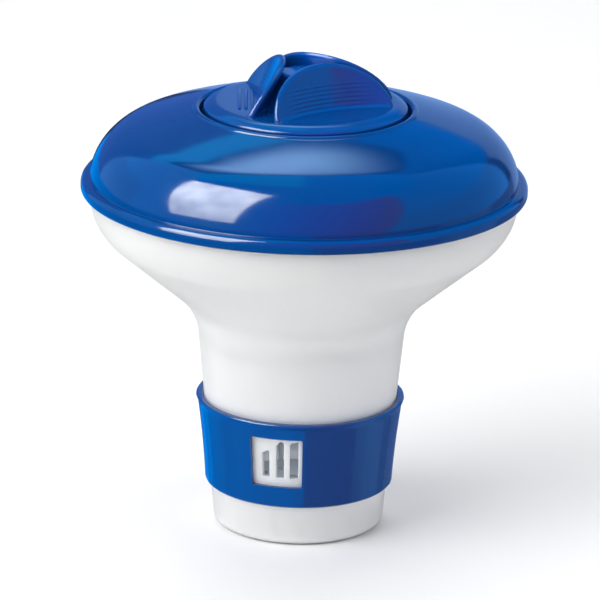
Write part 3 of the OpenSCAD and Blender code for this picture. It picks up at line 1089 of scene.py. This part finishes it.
make_camera()
make_floor()
make_world(seen=1.0, ambient=0.1, shine=0.03)
make_glow("tube_glow", watts=0.0042, height=0.023, size=0.012)
make_glow("cap_glow", watts=0.004, height=cad_box[1][2] + 0.002, size=0.004, only=cap_alone)
# What lights the object: a key softbox on the left with a low one under it, a fill on the right, a top light,
# a back light, and a fill for the cap alone
card("key", -60, 38, 0.9, (0.75, 0.75), 3.8, mirrored=False)
card("low_left", -50, 16, 0.9, (0.75, 0.5), 2.4, mirrored=False)
card("fill", 70, 20, 0.9, (0.75, 0.75), 1.75, colour=(0.95, 0.97, 1.03), mirrored=False)
card("top", 0, 85, 1.1, (0.9, 0.9), 1.8, mirrored=False)
card("back", 180, 45, 1.0, (0.9, 0.9), 2.4, mirrored=False)
card("cap_fill", -8, 20, 0.9, (0.5, 0.5), 3.5, mirrored=False, only=cap_alone)
# What the gloss mirrors: the key softbox, a strip above and behind, and the pale wall behind
card("key_mirror", -54.6, 37.1, 0.7, (0.48, 0.7), 17.5, colour=(0.95, 1.0, 1.08), roll=9,
     shift=(-0.045, 0.068), creased=True)
card("strip_mirror", 189, 56.2, 1.0, (0.74, 0.3), 3.3, colour=(0.65, 1.15, 1.8), soft=0.42, roll=5.9)
card("wall_mirror", 165.5, 5, 1.6, (1.1, 1.0), 0.36, colour=(0.7, 1.25, 2.6))
# The rest of the surroundings, as the blue pieces mirror them: azimuths at the foot, elevations, colour and,
# where the sides lean, azimuths at the head. The front is a row of strips that turn darker to the right
FRONT_LEFT = -35
FRONT_RIGHT = 41
FRONT_WAIST = 56
FRONT_TIP = 73
SURROUNDINGS = [
    ("left_low_mirror", (-165, -90), (-60, -2), (0.0, 0.5, 1.7)),
    ("left_low_front_mirror", (-90, 5), (-60, -2), (0.0, 0.66, 2.3)),
    ("left_back_mirror", (-178, -140), (-2, 38), (0.08, 0.18, 0.65)),
    ("left_back_top_mirror", (-178, -140), (38, 57), (0.08, 1.2, 2.7)),
    ("left_mirror", (-140, -102), (-2, 25), (0.2, 0.65, 1.7)),
    ("left_top_mirror", (-140, -102), (25, 57), (0.2, 0.9, 2.5)),
    ("left_front_mirror", (-102, FRONT_LEFT), (-2, 57), (0.2, 0.92, 2.8)),
    ("right_mirror", (FRONT_RIGHT, 140), (-2, 25), (0.12, 0.62, 1.9), (FRONT_WAIST, 140)),
    ("right_top_mirror", (FRONT_WAIST, 140), (25, 57), (0.06, 0.76, 2.7), (FRONT_TIP, 140)),
    ("right_low_mirror", (75, 115), (-60, -2), (0.22, 0.45, 0.95)),
    ("right_low_back_mirror", (115, 180), (-60, -2), (0.12, 0.2, 0.45)),
    ("front_low_mirror", (5, 75), (-60, -2), (0.16, 0.15, 0.42)),
    ("back_mirror", (140, 182), (22, 57), (0.0, 0.35, 1.5)),
    ("top_left_mirror", (-180, -110), (57, 90), (0.0, 1.5, 3.7)),
    ("top_right_mirror", (-110, 180), (57, 90), (0.0, 0.78, 3.1)),
]
FRONT_STRIPS = 8
for k in range(FRONT_STRIPS):
    a, b = k / FRONT_STRIPS, (k + 1) / FRONT_STRIPS
    t = (a + b) / 2
    SURROUNDINGS.append((
        f"front_mirror_{k}",
        (FRONT_LEFT + a * (FRONT_RIGHT - FRONT_LEFT), FRONT_LEFT + b * (FRONT_RIGHT - FRONT_LEFT)),
        (-2, 57),
        (0.1 + 0.45 * t, 0.05 + 0.7 * (1 - t) ** 2, 0.1 + 3 * (1 - t ** 1.6)),
        (FRONT_LEFT + a * (FRONT_TIP - FRONT_LEFT), FRONT_LEFT + b * (FRONT_TIP - FRONT_LEFT)),
    ))
for name, foot_az, el_range, colour, *head_az in SURROUNDINGS:
    screen(name, foot_az, head_az[0] if head_az else foot_az, el_range, colour)

view = bpy.context.scene.view_settings
view.view_transform = "Standard"
view.look = "None"
view.exposure = 0
view.gamma = 1
